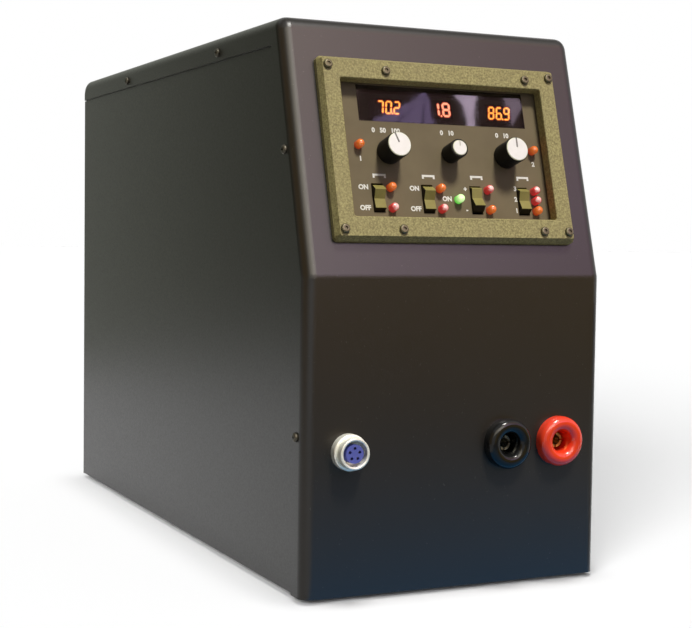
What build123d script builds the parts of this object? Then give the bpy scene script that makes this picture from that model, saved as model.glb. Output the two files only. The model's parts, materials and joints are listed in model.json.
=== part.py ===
"""Percussion welder: a bench power unit in a sheet-metal cabinet with a sloping control panel.

Millimetres, +Z up. The origin is on the floor, in the middle of the whole unit's footprint.
The front faces -Y, and +X is to the right of someone who stands in front of it.
"""

from build123d import *
from collections import namedtuple
import math
import os

# How near an edge lies to a height to count as being at it
closeness = 0.0001

# Cabinet
case_width = 200
case_depth = 480
case_height = 336
slope_rise = 151
slope_setback = 43
sheet = 1.5
corner_radius = 7
knee_radius = 9
brow_radius = 9
rear_radius = 12
flange_width = 16
rear_lip = 28
wall_clearance = 0.5
base_bend_radius = 1
front_lip_height = 20
rear_flange_width = 15

# Feet
foot_height = 3
foot_radius = 9
foot_inset = 30
foot_stem_radius = 3
foot_barb = 1
foot_barb_height = 2
foot_barb_taper = 30

# Pan-head screws
screw_radius = 1.5
screw_hole_clearance = 0.2
thread_clearance = 0.02
head_radius = 2.8
head_height = 1.8
head_round = 1.1
recess_length = 3
recess_width = 0.7
recess_depth = 0.9
key_flats = 2.2
cabinet_screw_length = 8
cover_screw_inset = 11
cover_screw_setbacks = (146, 348)
lip_screw_spread = 60
lip_screw_drop = 22
rear_screw_heights = (60, 165, 270)

# Frame (bezel) on the slope, measured along the slope from the bend
bezel_width = 162
bezel_height = 112
bezel_low = 20
bezel_thickness = 7
bezel_corner = 3
bezel_bevel = 2.2
bezel_bevel_depth = 4
opening_width = 137
opening_height = 84
opening_low = 34
opening_corner = 1.5
opening_round = 0.8
aperture_margin = 1
bezel_corner_screw_inset = 5.4
bezel_end_screw_inset = 6.3
bezel_inner_screw_drop = 8.4
bezel_inner_screws = (-38.2, 58)
bezel_screw_length = 13

# Control panel
panel_thickness = 2
panel_edge = 1.5
panel_gap = 8.7
board_thickness = 1.6
board_overhang = 3
board_margin = 2
standoff_radius = 2.6
standoff_inset = 4.5
stud_radius = 1.45
stud_length = 4

# Display window and digits
window_width = 114.5
window_height = 22.6
window_left = -54.9
window_low = 95
window_step = 2
window_step_depth = 1.4
window_fit = 0.1
module_gap = 0.3
module_margin = 1.4
digit_low = 100.8
digit_height = 8.4
digit_width = 4.4
digit_pitch = 5.5
digit_stroke = 1
digit_slant = 8
large_digit_height = 9.2
large_digit_width = 5.6
large_digit_pitch = 7.4
large_digit_stroke = 1.3
large_digit_slant = 0
digit_relief = 0.2
segment_gap = 0.12
point_radius = 0.55
Digits = namedtuple("Digits", "width height pitch stroke slant")
small = Digits(digit_width, digit_height, digit_pitch, digit_stroke, digit_slant)
large = Digits(
    large_digit_width, large_digit_height, large_digit_pitch, large_digit_stroke, large_digit_slant
)
readings = (("70.2", -41.4, small), ("1.8", -4.1, large), ("86.9", 35.1, small))

# Knobs and potentiometers
knob_row = 76
knob_places = {"left": -38, "middle": 3.3, "right": 42}
large_knob_radius = 7.75
large_knob_height = 14.2
large_cap_radius = 7.3
small_knob_radius = 5.75
small_knob_height = 12.2
small_cap_radius = 4.7
knob_lift = 0.8
knob_round = 0.5
knob_recess_depth = 2.6
knob_wall = 0.7
knob_crown = 2.4
cap_seat = 1.2
cap_rise = 0.6
cap_round = 0.45
cap_fit = 0.02
pointer_width = 1.1
pointer_depth = 0.5
left_pointer_angle = 20
pot_radius = 8
bushing_radius = 3
bushing_hole_clearance = 0.1
bushing_rise = 2.6
pot_nut_radius = 4
pot_nut_height = 1.8
shaft_radius = 2
shaft_running_fit = 0.05
shaft_grip_fit = 0.02
shaft_depth = 5

# Rocker switches
rocker_row = 47.7
rocker_places = {"mode": -47.9, "pulse": -14.9, "polarity": 18.1, "bank": 51.1}
rocker_width = 7
rocker_half_length = 8
rocker_swing = 10
rocker_rest = {"mode": rocker_swing, "pulse": rocker_swing, "polarity": -rocker_swing, "bank": 0}
rocker_stand = 1.6
rocker_ridge_half_length = 5.6
rocker_ridge_rise = 2
rocker_bevel_drop = 3.5
rocker_round = 0.5
rocker_pivot_depth = 3.7
rocker_skirt = 1.4
rocker_keel_half_length = 4.5
rocker_keel_depth = 2
rocker_gap = 0.35
rocker_end_gap = 0.9
trunnion_radius = 1
trunnion_length = 1
trunnion_fit = 0.06
switch_wall = 0.95
switch_floor = 1

# Indicator lamps
lamp_radius = 2.5
lamp_hole_clearance = 0.1
lamp_rise = 5.6
lamp_dome = 2.3
lamp_flange = 0.4
lamp_flange_height = 1
lamp_lead = 0.5
lamp_lead_spread = 2.54
lamp_offset = 8.4
lamp_spread = 6.3
power_lamp_across = 5.5
ready_lamp_places = ((-57.4, 79.8), (61.9, 80.2))

# Output sockets, heights measured from the cabinet's lower edge
socket_height = 84.3
socket_places = {"black": 33.2, "red": 70}
socket_radius = 15.2
socket_recess_radius = 6.4
socket_nose_base = 3.4
socket_barrel_radius = 10.5
socket_barrel_length = 16
socket_recess_depth = 10
socket_hole_clearance = 0.15
socket_nut_radius = 13.5
socket_nut_thickness = 5
nut_thread_fit = 0.05
contact_radius = 4.5
contact_bore_radius = 3
contact_bore_depth = 13
contact_setback = 2
contact_tail = 14
contact_slot = 0.9
contact_slot_depth = 4.5

# Round signal connector
connector_place = -72.3
connector_reach = 10.6
connector_radius = 9.2
connector_bore_radius = 7.5
connector_rim_round = 0.7
connector_flange_radius = 10.7
connector_flange_height = 5
connector_flange_round = 1.2
connector_thread_radius = 8.6
connector_thread_length = 14
connector_floor = 3.2
insert_radius = 5.5
insert_recess = 1
insert_tail = 10
insert_fit = 0.02
pin_count = 5
pin_circle = 3.2
pin_radius = 0.9
pin_bore_radius = 0.5
pin_setback = 3
connector_nut_radius = 11
connector_nut_thickness = 3

# Mains inlet on the rear panel, seen from behind
inlet_place = (52, 82)
inlet_width = 31
inlet_length = 72
inlet_flange = 3
inlet_corner = 3
inlet_wall = 2
inlet_depth = 32
inlet_panel_clearance = 0.2
cavity_width = 24
cavity_height = 16.5
cavity_chamfer = 4.5
cavity_depth = 16
cavity_drop = 21
blade_width = 4
blade_thickness = 2
blade_length = 12
blade_spread = 7
blade_offset = 2
earth_offset = 2.2
drawer_width = 22
drawer_height = 7.4
drawer_depth = 22
drawer_gap = 0.35
drawer_face_overlap = 1
drawer_face_thickness = 2
drawer_drop = 5.4
drawer_grip = 1
power_rise = 16
vent_slot_width = 4
vent_slot_length = 34
vent_count = 10
vent_pitch = 10
vent_rows = 2
vent_row_pitch = 44
vent_height = 235

# Mains transformer: a laminated core in units of its side leg
core_leg = 14
core_stack = 40
core_side_gap = 11
core_rear_gap = 85
coil_gap = 0.4
coil_build = 12
coil_round = 5

# Storage capacitors, clamps and bus bars
can_radius = 32
can_height = 112
can_count = 3
can_pitch = 74
can_side_gap = 13
can_first = 190
can_round = 3
terminal_radius = 5
terminal_height = 6
terminal_spread = 14
clamp_thickness = 1.5
clamp_height = 22
clamp_fit = 0.1
clamp_tab = 10
bar_width = 14
bar_thickness = 3
bar_overhang = 12

# Main board on the left wall
board_length = 170
board_height = 120
board_first = 70
board_rise = 40
board_standoff = 10
board_hole_inset = 7

# Polarity relay and discharge switch
relay_size = (48, 40, 52)
relay_side_gap = 27
relay_setback = 78
relay_round = 2
sink_width = 70
sink_length = 60
sink_base = 6
sink_fin_height = 26
sink_fin_thickness = 2
sink_fin_count = 9
sink_side_gap = 18
sink_setback = 250
module_size = (34, 46, 14)

# Places worked out from the sizes above
slope_angle = math.atan2(slope_setback, slope_rise)
front_height = case_height - slope_rise
bottom_z = foot_height
top_z = bottom_z + case_height
bend_z = bottom_z + front_height
base_top_z = bottom_z + sheet
swing = math.radians(rocker_swing)
rocker_valley = rocker_pivot_depth + rocker_stand
rocker_ridge = rocker_valley + rocker_ridge_rise
rocker_peak = rocker_ridge_half_length * math.sin(swing) + rocker_ridge * math.cos(swing)
rear_reach = inlet_flange - sheet + rocker_peak - rocker_pivot_depth
front_y = (connector_reach - rear_reach - case_depth) / 2
back_y = front_y + case_depth
rear_face_y = back_y - sheet
rear_inner_y = rear_face_y - sheet
side_outer = case_width / 2 - sheet
side_inner = side_outer - sheet
side_inset = corner_radius + wall_clearance
rear_top_z = top_z - flange_width - wall_clearance
slope = Plane(
    origin=(0, front_y, bend_z),
    x_dir=(1, 0, 0),
    z_dir=(0, -math.cos(slope_angle), math.sin(slope_angle)),
)
front = Plane(origin=(0, front_y, bottom_z), x_dir=(1, 0, 0), z_dir=(0, -1, 0))
rear = Plane(origin=(0, rear_face_y, bottom_z), x_dir=(-1, 0, 0), z_dir=(0, 1, 0))
panel_face = -sheet
panel_rear = panel_face - panel_thickness
board_front = panel_rear - panel_gap
rocker_pivot = panel_face - rocker_pivot_depth
cutout_half_length = rocker_half_length + rocker_end_gap

os.makedirs("parts", exist_ok=True)


def save(piece, name):
    """Label a finished piece and write it."""
    piece.part.label = name
    export_step(piece.part, f"parts/{name}.step")


def edges_at(piece, plane, height):
    """Edges of a piece that lie flat at a height over a plane."""
    return piece.edges().filter_by(lambda e: abs(plane.to_local_coords(e.center()).Z - height) < closeness)


def discs(plane, places, radius):
    """Round outlines at places on a plane."""
    with BuildSketch(plane) as outlines:
        with Locations(*places):
            Circle(radius)
    return outlines.sketch


def posts(plane, places, radius, height):
    """Raise round posts from a plane, or sink them where the height is negative, inside a part."""
    extrude(discs(plane, places, radius), amount=height)


def drill(plane, places, radius, height):
    """Cut round holes up from a plane, or down where the height is negative, inside a part."""
    extrude(discs(plane, places, radius), amount=height, mode=Mode.SUBTRACT)


def cabinet_outline(inset, bottom, back):
    """Corners of the cabinet's side view, moved inwards from the front, slope and top."""
    face = front_y + inset
    top = top_z - inset
    knee = bend_z - inset * math.tan(slope_angle / 2)
    brow = front_y + (inset + (top - bend_z) * math.sin(slope_angle)) / math.cos(slope_angle)
    return [(face, bottom), (face, knee), (brow, top), (back, top), (back, bottom)]


def cabinet_block(inset, bottom, back):
    """A solid block of the cabinet's shape with its side edges rounded."""
    corners = cabinet_outline(inset, bottom, back)
    bends = [knee_radius - inset, brow_radius - inset, rear_radius - inset]
    with BuildPart() as block:
        with BuildSketch(Plane.YZ):
            with BuildLine():
                FilletPolyline(*corners, radius=bends)
                Line(corners[-1], corners[0])
            make_face()
        extrude(amount=case_width / 2 - inset, both=True)
        rims = block.faces().filter_by(Axis.X).edges()
        fillet(rims.filter_by(lambda e: e.center().Z > bottom + sheet), radius=corner_radius - inset)
    return block


def pan_screws(seats, length, keyed=False):
    """Pan-head screws with a cross recess, or a hexagonal one for a key; a seat is a plane and its places."""
    with BuildPart() as screws:
        for plane, places in seats:
            posts(plane, places, screw_radius, -length)
            posts(plane, places, head_radius, head_height)
            fillet(edges_at(screws, plane, head_height), radius=head_round)
            with BuildSketch(plane.offset(head_height)):
                with Locations(*places):
                    if keyed:
                        RegularPolygon(key_flats / 2, 6, major_radius=False)
                    else:
                        Rectangle(recess_length, recess_width)
                        Rectangle(recess_width, recess_length)
            extrude(amount=-recess_depth, mode=Mode.SUBTRACT)
    return screws


# Places of the cover's screws: on both side flanges, as (Y, Z), and on the rear lip
slope_mid = front_y + slope_setback / 2
side_screw_places = [
    (front_y + cover_screw_inset, bottom_z + front_height / 2),
    (slope_mid + cover_screw_inset * math.cos(slope_angle),
     (bend_z + top_z) / 2 - cover_screw_inset * math.sin(slope_angle)),
    *[(front_y + setback, top_z - cover_screw_inset) for setback in cover_screw_setbacks],
]
left_side = Plane(origin=(-case_width / 2, 0, 0), x_dir=(0, -1, 0), z_dir=(-1, 0, 0))
right_side = Plane(origin=(case_width / 2, 0, 0), x_dir=(0, 1, 0), z_dir=(1, 0, 0))
lip_plane = Plane(origin=(0, back_y, bottom_z), x_dir=(-1, 0, 0), z_dir=(0, 1, 0))
left_screw_places = [(-y, z) for y, z in side_screw_places]
lip_screw_places = [(side * lip_screw_spread, case_height - lip_screw_drop) for side in (-1, 1)]
cover_seats = [(left_side, left_screw_places), (right_side, side_screw_places), (lip_plane, lip_screw_places)]

# Places of the frame's screws on the slope
bezel_top = bezel_low + bezel_height
bezel_columns = bezel_width / 2 - bezel_corner_screw_inset
bezel_screw_places = [
    *[(side * bezel_columns, bezel_low + bezel_end_screw_inset) for side in (-1, 1)],
    *[(side * bezel_columns, bezel_top - bezel_end_screw_inset) for side in (-1, 1)],
    *[(u, bezel_low + bezel_end_screw_inset) for u in bezel_inner_screws],
    *[(u, bezel_top - bezel_inner_screw_drop) for u in bezel_inner_screws],
]
opening_centre = (0, opening_low + opening_height / 2)

# Cover: front, slope and top in one bent sheet
cover_hollow = cabinet_block(sheet, bottom_z - sheet, back_y - sheet)
cover_shape = cabinet_block(0, bottom_z, back_y)
with BuildPart() as cover:
    add(cover_shape.part)
    add(cover_hollow.part, mode=Mode.SUBTRACT)
    for side in (-1, 1):
        with BuildSketch(Plane.YZ.offset(side * (case_width / 2 - corner_radius))):
            Polygon(*cabinet_outline(flange_width, bottom_z - sheet, back_y + sheet), align=None)
        extrude(amount=side * (corner_radius + sheet), mode=Mode.SUBTRACT)
    with BuildSketch(rear):
        with Locations((0, (case_height - rear_lip) / 2)):
            Rectangle(case_width, case_height - rear_lip)
    extrude(amount=sheet, mode=Mode.SUBTRACT)
    with BuildSketch(slope.offset(sheet)):
        with Locations(opening_centre):
            Rectangle(opening_width + 2 * aperture_margin, opening_height + 2 * aperture_margin)
    extrude(amount=-3 * sheet, mode=Mode.SUBTRACT)
    drill(slope.offset(sheet), bezel_screw_places, screw_radius + screw_hole_clearance, -3 * sheet)
    for place in socket_places.values():
        drill(front, [(place, socket_height)], socket_barrel_radius + socket_hole_clearance, -2 * sheet)
    connector_hole = connector_thread_radius + socket_hole_clearance
    drill(front, [(connector_place, socket_height)], connector_hole, -2 * sheet)
    for plane, places in cover_seats:
        drill(plane, places, screw_radius + screw_hole_clearance, -1.2 * sheet)
save(cover, "cover")

# Chassis: base and side walls in one bent sheet, with a lip behind the front and flanges at the rear
side_front_y = front_y + side_inset
lip_front_y = front_y + sheet
tongue_half_width = case_width / 2 - corner_radius - 2 * sheet
side_corners = cabinet_outline(side_inset, bottom_z, rear_inner_y)[:3]
side_corners += [
    (rear_inner_y - flange_width, top_z - side_inset),
    (back_y - side_inset, rear_top_z),
    (rear_inner_y, rear_top_z),
    (rear_inner_y, bottom_z),
]
side_bends = [knee_radius - side_inset, brow_radius - side_inset, 0, 0, 0]
foot_places = [
    (across * (side_outer - foot_inset), along)
    for across in (-1, 1)
    for along in (front_y + foot_inset + side_inset, rear_inner_y - foot_inset)
]
with BuildPart() as chassis:
    with BuildSketch(Plane.XY.offset(bottom_z)):
        with Locations((0, (side_front_y + rear_inner_y) / 2)):
            Rectangle(2 * side_outer, rear_inner_y - side_front_y)
        with Locations((0, (lip_front_y + side_front_y) / 2)):
            Rectangle(2 * tongue_half_width, side_front_y - lip_front_y)
    extrude(amount=sheet)
    with BuildSketch(Plane.XY.offset(bottom_z)):
        with Locations((0, lip_front_y + sheet / 2)):
            Rectangle(2 * tongue_half_width, sheet)
    extrude(amount=front_lip_height)
    for side in (-1, 1):
        with BuildSketch(Plane.YZ.offset(side * side_outer)):
            with BuildLine():
                FilletPolyline(*side_corners, radius=side_bends)
                Line(side_corners[-1], side_corners[0])
            make_face()
        extrude(amount=-side * sheet)
        with BuildSketch(Plane.XY.offset(bottom_z)):
            with Locations((side * (side_outer - rear_flange_width / 2), rear_inner_y - sheet / 2)):
                Rectangle(rear_flange_width, sheet)
        extrude(amount=rear_top_z - bottom_z)
    low_edges = edges_at(chassis, Plane.XY, bottom_z).filter_by(Axis.Y)
    fillet(low_edges.filter_by(lambda e: abs(e.center().X) > side_outer - sheet / 2), radius=base_bend_radius)
    drill(Plane.XY.offset(bottom_z), foot_places, foot_stem_radius + thread_clearance, sheet)
    for plane, places in cover_seats[:2]:
        drill(plane.offset(-sheet), places, screw_radius + thread_clearance, -sheet)
    rear_screw_places = [
        (side * (side_outer - rear_flange_width / 2), height)
        for side in (-1, 1)
        for height in rear_screw_heights
    ]
    drill(rear.offset(-sheet), rear_screw_places, screw_radius + thread_clearance, -sheet)
save(chassis, "chassis")

# Rear panel, with the mains inlet's cut-out and vent slots
inlet_x, inlet_z = inlet_place
body_width = cavity_width + 2 * inlet_wall
body_length = inlet_length - 3 * inlet_wall
with BuildPart() as rear_panel:
    with BuildSketch(rear):
        with Locations((0, (rear_top_z - bottom_z) / 2)):
            Rectangle(2 * side_outer, rear_top_z - bottom_z)
        with Locations(inlet_place):
            Rectangle(
                body_width + 2 * inlet_panel_clearance,
                body_length + 2 * inlet_panel_clearance,
                mode=Mode.SUBTRACT,
            )
        with Locations((0, vent_height)):
            with GridLocations(vent_pitch, vent_row_pitch, vent_count, vent_rows):
                SlotOverall(vent_slot_length, vent_slot_width, rotation=90, mode=Mode.SUBTRACT)
        with Locations(*rear_screw_places):
            Circle(screw_radius + screw_hole_clearance, mode=Mode.SUBTRACT)
        with Locations(*lip_screw_places):
            Circle(screw_radius + thread_clearance, mode=Mode.SUBTRACT)
    extrude(amount=-sheet)
save(rear_panel, "rear_panel")

save(pan_screws([*cover_seats, (rear, rear_screw_places)], cabinet_screw_length), "cabinet_screws")

# Rubber feet, held by barbed stems in the base
with BuildPart() as rubber_feet:
    posts(Plane.XY, foot_places, foot_radius, foot_height)
    fillet(edges_at(rubber_feet, Plane.XY, 0), radius=foot_height / 3)
    posts(Plane.XY.offset(foot_height), foot_places, foot_stem_radius, sheet)
    barbs = discs(Plane.XY.offset(base_top_z), foot_places, foot_stem_radius + foot_barb)
    extrude(barbs, amount=foot_barb_height, taper=foot_barb_taper)
save(rubber_feet, "rubber_feet")

# Frame on the slope
with BuildPart() as bezel:
    with BuildSketch(slope):
        with Locations((0, bezel_low + bezel_height / 2)):
            RectangleRounded(bezel_width, bezel_height, bezel_corner)
    extrude(amount=bezel_thickness)
    chamfer(
        edges_at(bezel, slope, bezel_thickness),
        length=bezel_bevel,
        length2=bezel_bevel_depth,
        reference=bezel.faces().sort_by(Axis(slope.origin, slope.z_dir))[-1],
    )
    with BuildSketch(slope):
        with Locations(opening_centre):
            RectangleRounded(opening_width, opening_height, opening_corner)
    extrude(amount=bezel_thickness, mode=Mode.SUBTRACT)
    inner_rim = edges_at(bezel, slope, bezel_thickness).filter_by(
        lambda e: abs(slope.to_local_coords(e.center()).X) < opening_width / 2 + opening_round
        and abs(slope.to_local_coords(e.center()).Y - opening_centre[1]) < opening_height / 2 + opening_round
    )
    fillet(inner_rim, radius=opening_round)
    drill(slope, bezel_screw_places, screw_radius + screw_hole_clearance, bezel_thickness)
save(bezel, "bezel")
bezel_seats = [(slope.offset(bezel_thickness), bezel_screw_places)]
save(pan_screws(bezel_seats, bezel_screw_length, keyed=True), "bezel_screws")

# Lamps in the panel: beside each switch, one for power, and a ready lamp for each output
lamp_rows = {"upper": rocker_row + lamp_spread, "centre": rocker_row, "lower": rocker_row - lamp_spread}
lit_rows = {"mode": ["upper"], "pulse": ["upper"], "polarity": ["lower"], "bank": ["lower"]}
dark_rows = {"mode": ["lower"], "pulse": ["lower"], "polarity": ["upper"], "bank": ["upper", "centre"]}


def switch_lamps(rows):
    """Places of the lamps that stand in the named rows beside each switch."""
    return [
        (rocker_places[switch] + lamp_offset, lamp_rows[row])
        for switch, names in rows.items()
        for row in names
    ]


lit_lamp_places = [*switch_lamps(lit_rows), *ready_lamp_places]
dark_lamp_places = switch_lamps(dark_rows)
power_lamp_place = (power_lamp_across, rocker_row)
lamp_places = [*lit_lamp_places, *dark_lamp_places, power_lamp_place]
knob_centres = {name: (place, knob_row) for name, place in knob_places.items()}
window_centre = (window_left + window_width / 2, window_low + window_height / 2)

# Control panel behind the cover's aperture
with BuildPart() as control_panel:
    with BuildSketch(slope.offset(panel_face)):
        with Locations((0, bezel_low + bezel_height / 2)):
            Rectangle(bezel_width - 2 * panel_edge, bezel_height - 2 * panel_edge)
        with Locations(*bezel_screw_places):
            Circle(screw_radius + thread_clearance, mode=Mode.SUBTRACT)
        with Locations(*lamp_places):
            Circle(lamp_radius + lamp_hole_clearance, mode=Mode.SUBTRACT)
        with Locations(*knob_centres.values()):
            Circle(bushing_radius + bushing_hole_clearance, mode=Mode.SUBTRACT)
        with Locations(*[(place, rocker_row) for place in rocker_places.values()]):
            Rectangle(rocker_width + 2 * rocker_gap, 2 * cutout_half_length, mode=Mode.SUBTRACT)
        with Locations(window_centre):
            Rectangle(window_width, window_height, mode=Mode.SUBTRACT)
    extrude(amount=-panel_thickness)
save(control_panel, "control_panel")

# Smoked display window, stepped to sit in the panel from behind
with BuildPart() as display_window:
    with BuildSketch(slope.offset(panel_face)):
        with Locations(window_centre):
            Rectangle(window_width - 2 * window_fit, window_height - 2 * window_fit)
    extrude(amount=-panel_thickness)
    with BuildSketch(slope.offset(panel_rear)):
        with Locations(window_centre):
            Rectangle(window_width + 2 * window_step, window_height + 2 * window_step)
    extrude(amount=-window_step_depth)
save(display_window, "display_window")

# Digit modules on the board, and the lit segments on their faces
module_face = panel_rear - window_step_depth - module_gap
segment_table = {
    "0": "abcdef", "1": "bc", "2": "abged", "3": "abgcd", "4": "fgbc",
    "5": "afgcd", "6": "afgedc", "7": "abc", "8": "abcdefg", "9": "abfgcd",
}
segment_ends = {
    "a": ((0, 1), (1, 1)), "g": ((0, 0.5), (1, 0.5)), "d": ((0, 0), (1, 0)),
    "f": ((0, 0.5), (0, 1)), "b": ((1, 0.5), (1, 1)),
    "e": ((0, 0), (0, 0.5)), "c": ((1, 0), (1, 0.5)),
}


def lean(digits, height):
    """How far leaning digits have moved over at a height above their foot."""
    return height * math.tan(math.radians(digits.slant))


def segment_outline(name, left, digits):
    """Six-sided outline of one bar of a digit whose left edge is at a place on the slope."""
    half = digits.stroke / 2
    reach = digits.width - digits.stroke
    height = digits.height - digits.stroke
    (x1, y1), (x2, y2) = [(half + x * reach, half + y * height) for x, y in segment_ends[name]]
    trim = half + segment_gap
    if y1 == y2:
        bar = [
            (x1 + segment_gap, y1), (x1 + trim, y1 + half), (x2 - trim, y1 + half),
            (x2 - segment_gap, y1), (x2 - trim, y1 - half), (x1 + trim, y1 - half),
        ]
    else:
        bar = [
            (x1, y1 + segment_gap), (x1 - half, y1 + trim), (x1 - half, y2 - trim),
            (x1, y2 - segment_gap), (x1 + half, y2 - trim), (x1 + half, y1 + trim),
        ]
    return [(left + x + lean(digits, y), digit_low + y) for x, y in bar]


def reading_cells(text):
    """The digits of a reading in order, with whether a point follows each."""
    digits = [mark for mark in text if mark != "."]
    point_after = text.index(".") - 1
    return [(digit, order == point_after) for order, digit in enumerate(digits)]


with BuildPart() as digit_modules:
    for text, left, digits in readings:
        last = len(reading_cells(text)) - 1
        width = last * digits.pitch + digits.width + lean(digits, digits.height)
        with BuildSketch(slope.offset(module_face)):
            with Locations((left + width / 2, digit_low + digits.height / 2)):
                Rectangle(width + 2 * module_margin, digits.height + 2 * module_margin)
        extrude(amount=board_front - module_face)
save(digit_modules, "digit_modules")

with BuildPart() as digit_segments:
    with BuildSketch(slope.offset(module_face)):
        for text, left, digits in readings:
            for order, (digit, pointed) in enumerate(reading_cells(text)):
                cell = left + order * digits.pitch
                for name in segment_table[digit]:
                    Polygon(*segment_outline(name, cell, digits), align=None)
                if pointed:
                    with Locations((cell + (digits.width + digits.pitch) / 2, digit_low + point_radius)):
                        Circle(point_radius)
    extrude(amount=digit_relief)
save(digit_segments, "digit_segments")

# Front-panel board on standoffs
board_width = opening_width + 2 * board_overhang
board_rows = opening_height - 2 * board_margin
standoff_places = [
    (across * (board_width / 2 - standoff_inset), opening_centre[1] + up * (board_rows / 2 - standoff_inset))
    for across in (-1, 1)
    for up in (-1, 1)
]
with BuildPart() as panel_board:
    with BuildSketch(slope.offset(board_front)):
        with Locations(opening_centre):
            Rectangle(board_width, board_rows)
        with Locations(*standoff_places):
            Circle(stud_radius + screw_hole_clearance, mode=Mode.SUBTRACT)
    extrude(amount=-board_thickness)
save(panel_board, "panel_board")

with BuildPart() as board_standoffs:
    posts(slope.offset(panel_rear), standoff_places, standoff_radius, -panel_gap)
    posts(slope.offset(board_front), standoff_places, stud_radius, -stud_length)
save(board_standoffs, "board_standoffs")


def lamps(places):
    """Domed lamps with a rear flange and two leads to the board."""
    with BuildPart() as group:
        posts(slope.offset(panel_rear), places, lamp_radius, panel_thickness + lamp_rise)
        fillet(edges_at(group, slope, panel_face + lamp_rise), radius=lamp_dome)
        posts(slope.offset(panel_rear), places, lamp_radius + lamp_flange, -lamp_flange_height)
        with BuildSketch(slope.offset(panel_rear - lamp_flange_height)):
            with Locations(*places):
                with GridLocations(lamp_lead_spread, 0, 2, 1):
                    Rectangle(lamp_lead, lamp_lead)
        extrude(amount=lamp_flange_height - panel_gap)
    return group


save(lamps(lit_lamp_places), "lamps_lit")
save(lamps(dark_lamp_places), "lamps_dark")
save(lamps([power_lamp_place]), "power_lamp")


def knob(centre, radius, height, cap_radius):
    """Knob body: hollow underneath for the nut, bored for the shaft, seated for its cap."""
    base = slope.offset(panel_face + knob_lift)
    with BuildPart() as body:
        posts(base, [centre], radius, height)
        fillet(edges_at(body, base, height), radius=knob_round)
        drill(base, [centre], radius - knob_wall, knob_recess_depth)
        drill(base, [centre], shaft_radius + shaft_grip_fit, height - knob_crown)
        drill(base.offset(height), [centre], cap_radius + cap_fit, -cap_seat)
    return body


def knob_cap(centre, height, cap_radius, pointer_angle):
    """Pale cap in the knob's face, with a groove for the pointer, turned from straight up."""
    face = slope.offset(panel_face + knob_lift + height)
    turned = math.radians(pointer_angle)
    towards = (-math.sin(turned), math.cos(turned))
    middle = [c + (cap_radius / 2 + pointer_width) * t for c, t in zip(centre, towards)]
    with BuildPart() as cap:
        posts(face.offset(-cap_seat), [centre], cap_radius, cap_seat + cap_rise)
        fillet(edges_at(cap, face, cap_rise), radius=cap_round)
        with BuildSketch(face.offset(cap_rise)):
            with Locations(Location((*middle, 0), (0, 0, pointer_angle))):
                Rectangle(pointer_width, cap_radius)
        extrude(amount=-pointer_depth, mode=Mode.SUBTRACT)
    return cap


def shaft(centre, height):
    """Potentiometer shaft from inside its body to the knob."""
    foot = panel_rear - shaft_depth
    with BuildPart() as rod:
        posts(slope.offset(foot), [centre], shaft_radius, panel_face + knob_lift + height - knob_crown - foot)
    return rod


def potentiometer(centre):
    """Round potentiometer body behind the panel, with a bushing through it."""
    with BuildPart() as body:
        posts(slope.offset(panel_rear), [centre], pot_radius, -panel_gap)
        posts(slope.offset(panel_rear), [centre], bushing_radius, panel_thickness + bushing_rise)
        bushing_end = slope.offset(panel_face + bushing_rise)
        bore_depth = panel_thickness + bushing_rise + shaft_depth + shaft_running_fit
        drill(bushing_end, [centre], shaft_radius + shaft_running_fit, -bore_depth)
    return body


knob_sizes = {
    "left": (large_knob_radius, large_knob_height, large_cap_radius, left_pointer_angle),
    "middle": (small_knob_radius, small_knob_height, small_cap_radius, 0),
    "right": (large_knob_radius, large_knob_height, large_cap_radius, 0),
}
for name, centre in knob_centres.items():
    radius, height, cap_radius, pointer_angle = knob_sizes[name]
    save(knob(centre, radius, height, cap_radius), f"knob_{name}")
    save(knob_cap(centre, height, cap_radius, pointer_angle), f"knob_cap_{name}")
    save(shaft(centre, height), f"shaft_{name}")
    save(potentiometer(centre), f"potentiometer_{name}")

with BuildPart() as pot_nuts:
    with BuildSketch(slope.offset(panel_face)):
        with Locations(*knob_centres.values()):
            RegularPolygon(pot_nut_radius, 6, major_radius=False)
            Circle(bushing_radius + nut_thread_fit, mode=Mode.SUBTRACT)
    extrude(amount=pot_nut_height)
save(pot_nuts, "pot_nuts")


def tilted_plane(plane, centre, depth, tilt):
    """Plane of a rocker's profile: through its pivot under a face, tilted about the pivot."""
    pivot = plane.offset(-depth).from_local_coords((*centre, 0))
    along = plane.y_dir * math.cos(tilt) + plane.z_dir * math.sin(tilt)
    return Plane(origin=pivot, x_dir=along, z_dir=plane.x_dir)


def rocker(plane, centre, rest):
    """Rocker with a dished face, bevelled ends and trunnions; a rest angle above 0 raises its upper end."""
    profile_plane = tilted_plane(plane, centre, rocker_pivot_depth, math.radians(rest))
    end_height = rocker_ridge - rocker_bevel_drop
    profile = [
        (-rocker_half_length, end_height),
        (-rocker_ridge_half_length, rocker_ridge),
        (0, rocker_valley),
        (rocker_ridge_half_length, rocker_ridge),
        (rocker_half_length, end_height),
        (rocker_half_length, rocker_skirt),
        (rocker_keel_half_length, -rocker_keel_depth),
        (-rocker_keel_half_length, -rocker_keel_depth),
        (-rocker_half_length, rocker_skirt),
    ]
    with BuildPart() as body:
        with BuildSketch(profile_plane):
            Polygon(*profile, align=None)
        extrude(amount=rocker_width / 2, both=True)
        ridges = body.edges().filter_by(
            lambda e: abs(profile_plane.to_local_coords(e.center()).Y - rocker_ridge) < closeness
        )
        fillet(ridges, radius=rocker_round)
        with BuildSketch(profile_plane):
            Circle(trunnion_radius)
        extrude(amount=rocker_width / 2 + trunnion_length, both=True)
    return body


def cut_rocker_pocket(plane, centre, depth):
    """Open a pocket for a rocker in a face, inside a part."""
    with BuildSketch(plane) as mouth:
        with Locations(centre):
            Rectangle(rocker_width + 2 * rocker_gap, 2 * cutout_half_length)
    extrude(mouth.sketch, amount=-depth, mode=Mode.SUBTRACT)


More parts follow.
